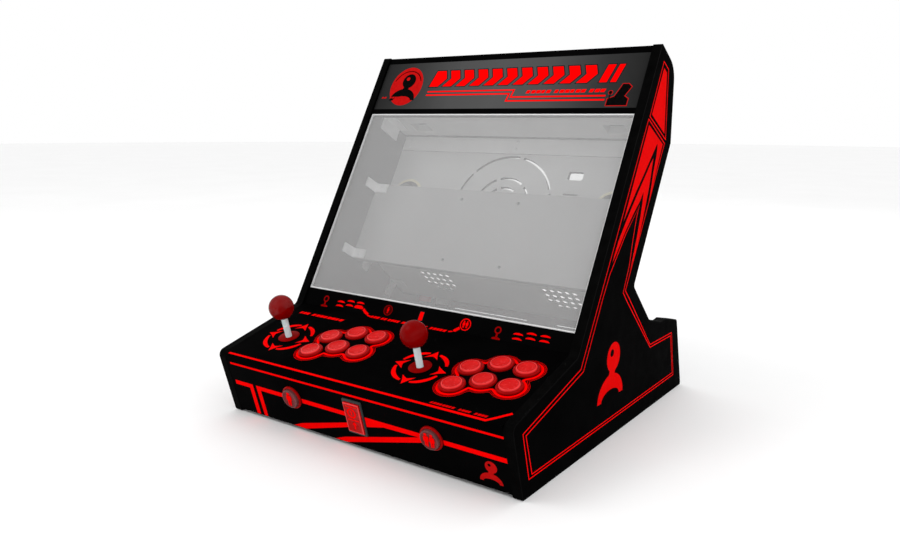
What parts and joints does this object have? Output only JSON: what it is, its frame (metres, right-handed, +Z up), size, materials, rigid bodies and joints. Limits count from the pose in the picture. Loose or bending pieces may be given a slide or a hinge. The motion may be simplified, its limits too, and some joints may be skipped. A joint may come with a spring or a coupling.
{
  "type": "two-player bartop video game cabinet",
  "caption": "Bartop arcade cabinet with sloped screen cover, marquee, ball-top joysticks, push buttons, perforated speaker panel and hinged rear door.",
  "frame": {"origin": "bottom centre of the bounding box", "axes": "+X to the right seen from the front, front faces -Y, +Z up"},
  "size_m": [0.4764, 0.5126, 0.5076],
  "materials": {
    "side_panel_left": "painted black board",
    "side_panel_right": "painted black board",
    "edge_moulding_left": "extruded plastic edging",
    "edge_moulding_right": "extruded plastic edging",
    "base_panel": "painted black board",
    "front_panel": "painted black board",
    "control_panel": "painted black board",
    "lower_rail": "painted black board",
    "screen_cover": "grey tinted clear acrylic with polished edges",
    "marquee_rail": "painted black board",
    "marquee_panel": "printed translucent acrylic",
    "top_panel": "painted black board",
    "ceiling_panel": "painted black board",
    "rear_top_panel": "painted black board",
    "rear_rail": "painted black board",
    "slanted_panel": "painted black board",
    "ledge_panel": "painted black board",
    "tail_panel": "painted black board",
    "monitor_board": "painted black board",
    "corner_brackets": "zinc plated",
    "door_hinge_fixed": "zinc plated",
    "button_housings": "red moulded plastic",
    "button_nuts": "black moulded plastic, brass terminals on the switches",
    "button_switches": "black moulded plastic, brass terminals on the switches",
    "joystick_bases": "steel plate with black plastic housing",
    "joystick_switches": "black moulded plastic, brass terminals on the switches",
    "start_housings": "red moulded plastic",
    "coin_housing": "black moulded plastic",
    "ledge_housings": "one red, one white",
    "rear_door": "painted black board",
    "door_speakers": "cream gasket ring over a dark basket",
    "door_hinge_moving": "zinc plated",
    "gimbal_left": "nylon",
    "stick_left": "polished",
    "ball_left": "polished red ball",
    "dust_slider_left": "nylon",
    "dust_washer_left": "red plastic",
    "gimbal_right": "nylon",
    "stick_right": "polished",
    "ball_right": "polished red ball",
    "dust_slider_right": "nylon",
    "dust_washer_right": "red plastic",
    "coin_cap": "red moulded plastic",
    "start_cap_left": "clear greyish plastic over a printed symbol",
    "start_cap_right": "clear greyish plastic over a printed symbol",
    "ledge_cap_red": "red moulded plastic",
    "ledge_cap_white": "white moulded plastic",
    "cap_left_1": "red moulded plastic",
    "cap_left_2": "red moulded plastic",
    "cap_left_3": "red moulded plastic",
    "cap_left_4": "red moulded plastic",
    "cap_left_5": "red moulded plastic",
    "cap_left_6": "red moulded plastic",
    "cap_right_1": "red moulded plastic",
    "cap_right_2": "red moulded plastic",
    "cap_right_3": "red moulded plastic",
    "cap_right_4": "red moulded plastic",
    "cap_right_5": "red moulded plastic",
    "cap_right_6": "red moulded plastic"
  },
  "bodies": {
    "cabinet": {"side_panel_left": "side_panel_left", "side_panel_right": "side_panel_right", "edge_moulding_left": "edge_moulding_left", "edge_moulding_right": "edge_moulding_right", "base_panel": "base_panel", "front_panel": "front_panel", "control_panel": "control_panel", "lower_rail": "lower_rail", "screen_cover": "screen_cover", "marquee_rail": "marquee_rail", "marquee_panel": "marquee_panel", "top_panel": "top_panel", "ceiling_panel": "ceiling_panel", "rear_top_panel": "rear_top_panel", "rear_rail": "rear_rail", "slanted_panel": "slanted_panel", "ledge_panel": "ledge_panel", "tail_panel": "tail_panel", "monitor_board": "monitor_board", "corner_brackets": "corner_brackets", "door_hinge_fixed": "door_hinge_fixed", "button_housings": "button_housings", "button_nuts": "button_nuts", "button_switches": "button_switches", "joystick_bases": "joystick_bases", "joystick_switches": "joystick_switches", "start_housings": "start_housings", "coin_housing": "coin_housing", "ledge_housings": "ledge_housings"},
    "door": {"rear_door": "rear_door", "door_speakers": "door_speakers", "door_hinge_moving": "door_hinge_moving"},
    "gimbal_left": {"gimbal_left": "gimbal_left"},
    "stick_left": {"stick_left": "stick_left", "ball_left": "ball_left"},
    "dust_slider_left": {"dust_slider_left": "dust_slider_left"},
    "dust_washer_left": {"dust_washer_left": "dust_washer_left"},
    "gimbal_right": {"gimbal_right": "gimbal_right"},
    "stick_right": {"stick_right": "stick_right", "ball_right": "ball_right"},
    "dust_slider_right": {"dust_slider_right": "dust_slider_right"},
    "dust_washer_right": {"dust_washer_right": "dust_washer_right"},
    "coin_cap": {"coin_cap": "coin_cap"},
    "start_cap_left": {"start_cap_left": "start_cap_left"},
    "start_cap_right": {"start_cap_right": "start_cap_right"},
    "ledge_cap_red": {"ledge_cap_red": "ledge_cap_red"},
    "ledge_cap_white": {"ledge_cap_white": "ledge_cap_white"},
    "cap_left_1": {"cap_left_1": "cap_left_1"},
    "cap_left_2": {"cap_left_2": "cap_left_2"},
    "cap_left_3": {"cap_left_3": "cap_left_3"},
    "cap_left_4": {"cap_left_4": "cap_left_4"},
    "cap_left_5": {"cap_left_5": "cap_left_5"},
    "cap_left_6": {"cap_left_6": "cap_left_6"},
    "cap_right_1": {"cap_right_1": "cap_right_1"},
    "cap_right_2": {"cap_right_2": "cap_right_2"},
    "cap_right_3": {"cap_right_3": "cap_right_3"},
    "cap_right_4": {"cap_right_4": "cap_right_4"},
    "cap_right_5": {"cap_right_5": "cap_right_5"},
    "cap_right_6": {"cap_right_6": "cap_right_6"}
  },
  "joints": [
    {"name": "door_hinge", "type": "hinge", "parent": "cabinet", "child": "door", "pos_m": [0, 0.05214, 0.19379], "axis": [-1, 0, 0], "range_deg": [0, 70]},
    {"name": "joystick_pitch_left", "type": "hinge", "parent": "cabinet", "child": "gimbal_left", "pos_m": [-0.1652, -0.18485, 0.08503], "axis": [1, 0, 0], "range_deg": [-7.5, 7.5], "stiffness_Nm_per_rad": 1.5},
    {"name": "joystick_roll_left", "type": "hinge", "parent": "gimbal_left", "child": "stick_left", "pos_m": [-0.1652, -0.18485, 0.08503], "axis": [0, 0.9645, 0.2639], "range_deg": [-7.5, 7.5], "stiffness_Nm_per_rad": 1.5},
    {"name": "dust_slide_y_left", "type": "slide", "parent": "cabinet", "child": "dust_slider_left", "axis": [0, 0.9645, 0.2639], "range_m": [-0.0037, 0.0037]},
    {"name": "dust_slide_x_left", "type": "slide", "parent": "dust_slider_left", "child": "dust_washer_left", "axis": [1, 0, 0], "range_m": [-0.0037, 0.0037]},
    {"name": "joystick_pitch_right", "type": "hinge", "parent": "cabinet", "child": "gimbal_right", "pos_m": [0.0666, -0.18485, 0.08503], "axis": [1, 0, 0], "range_deg": [-7.5, 7.5], "stiffness_Nm_per_rad": 1.5},
    {"name": "joystick_roll_right", "type": "hinge", "parent": "gimbal_right", "child": "stick_right", "pos_m": [0.0666, -0.18485, 0.08503], "axis": [0, 0.9645, 0.2639], "range_deg": [-7.5, 7.5], "stiffness_Nm_per_rad": 1.5},
    {"name": "dust_slide_y_right", "type": "slide", "parent": "cabinet", "child": "dust_slider_right", "axis": [0, 0.9645, 0.2639], "range_m": [-0.0037, 0.0037]},
    {"name": "dust_slide_x_right", "type": "slide", "parent": "dust_slider_right", "child": "dust_washer_right", "axis": [1, 0, 0], "range_m": [-0.0037, 0.0037]},
    {"name": "press_cap_left_1", "type": "slide", "parent": "cabinet", "child": "cap_left_1", "axis": [0, 0.2639, -0.9645], "range_m": [0, 0.0022], "stiffness_N_per_m": 180, "springref_m": -0.003},
    {"name": "press_cap_left_2", "type": "slide", "parent": "cabinet", "child": "cap_left_2", "axis": [0, 0.2639, -0.9645], "range_m": [0, 0.0022], "stiffness_N_per_m": 180, "springref_m": -0.003},
    {"name": "press_cap_left_3", "type": "slide", "parent": "cabinet", "child": "cap_left_3", "axis": [0, 0.2639, -0.9645], "range_m": [0, 0.0022], "stiffness_N_per_m": 180, "springref_m": -0.003},
    {"name": "press_cap_left_4", "type": "slide", "parent": "cabinet", "child": "cap_left_4", "axis": [0, 0.2639, -0.9645], "range_m": [0, 0.0022], "stiffness_N_per_m": 180, "springref_m": -0.003},
    {"name": "press_cap_left_5", "type": "slide", "parent": "cabinet", "child": "cap_left_5", "axis": [0, 0.2639, -0.9645], "range_m": [0, 0.0022], "stiffness_N_per_m": 180, "springref_m": -0.003},
    {"name": "press_cap_left_6", "type": "slide", "parent": "cabinet", "child": "cap_left_6", "axis": [0, 0.2639, -0.9645], "range_m": [0, 0.0022], "stiffness_N_per_m": 180, "springref_m": -0.003},
    {"name": "press_cap_right_1", "type": "slide", "parent": "cabinet", "child": "cap_right_1", "axis": [0, 0.2639, -0.9645], "range_m": [0, 0.0022], "stiffness_N_per_m": 180, "springref_m": -0.003},
    {"name": "press_cap_right_2", "type": "slide", "parent": "cabinet", "child": "cap_right_2", "axis": [0, 0.2639, -0.9645], "range_m": [0, 0.0022], "stiffness_N_per_m": 180, "springref_m": -0.003},
    {"name": "press_cap_right_3", "type": "slide", "parent": "cabinet", "child": "cap_right_3", "axis": [0, 0.2639, -0.9645], "range_m": [0, 0.0022], "stiffness_N_per_m": 180, "springref_m": -0.003},
    {"name": "press_cap_right_4", "type": "slide", "parent": "cabinet", "child": "cap_right_4", "axis": [0, 0.2639, -0.9645], "range_m": [0, 0.0022], "stiffness_N_per_m": 180, "springref_m": -0.003},
    {"name": "press_cap_right_5", "type": "slide", "parent": "cabinet", "child": "cap_right_5", "axis": [0, 0.2639, -0.9645], "range_m": [0, 0.0022], "stiffness_N_per_m": 180, "springref_m": -0.003},
    {"name": "press_cap_right_6", "type": "slide", "parent": "cabinet", "child": "cap_right_6", "axis": [0, 0.2639, -0.9645], "range_m": [0, 0.0022], "stiffness_N_per_m": 180, "springref_m": -0.003},
    {"name": "press_start_cap_left", "type": "slide", "parent": "cabinet", "child": "start_cap_left", "axis": [0, 0.9629, 0.27], "range_m": [0, 0.0022], "stiffness_N_per_m": 180, "springref_m": -0.003},
    {"name": "press_start_cap_right", "type": "slide", "parent": "cabinet", "child": "start_cap_right", "axis": [0, 0.9629, 0.27], "range_m": [0, 0.0022], "stiffness_N_per_m": 180, "springref_m": -0.003},
    {"name": "press_coin_cap", "type": "slide", "parent": "cabinet", "child": "coin_cap", "axis": [0, 0.9629, 0.27], "range_m": [0, 0.0022], "stiffness_N_per_m": 180, "springref_m": -0.003},
    {"name": "press_ledge_cap_red", "type": "slide", "parent": "cabinet", "child": "ledge_cap_red", "axis": [0, -0.2513, -0.9679], "range_m": [0, 0.0022], "stiffness_N_per_m": 180, "springref_m": -0.003},
    {"name": "press_ledge_cap_white", "type": "slide", "parent": "cabinet", "child": "ledge_cap_white", "axis": [0, -0.2513, -0.9679], "range_m": [0, 0.0022], "stiffness_N_per_m": 180, "springref_m": -0.003}
  ],
  "couplings": [
    {"joint": "dust_slide_y_left", "follows": "joystick_pitch_left", "m_per_rad": -0.0272},
    {"joint": "dust_slide_x_left", "follows": "joystick_roll_left", "m_per_rad": 0.0272},
    {"joint": "dust_slide_y_right", "follows": "joystick_pitch_right", "m_per_rad": -0.0272},
    {"joint": "dust_slide_x_right", "follows": "joystick_roll_right", "m_per_rad": 0.0272}
  ]
}
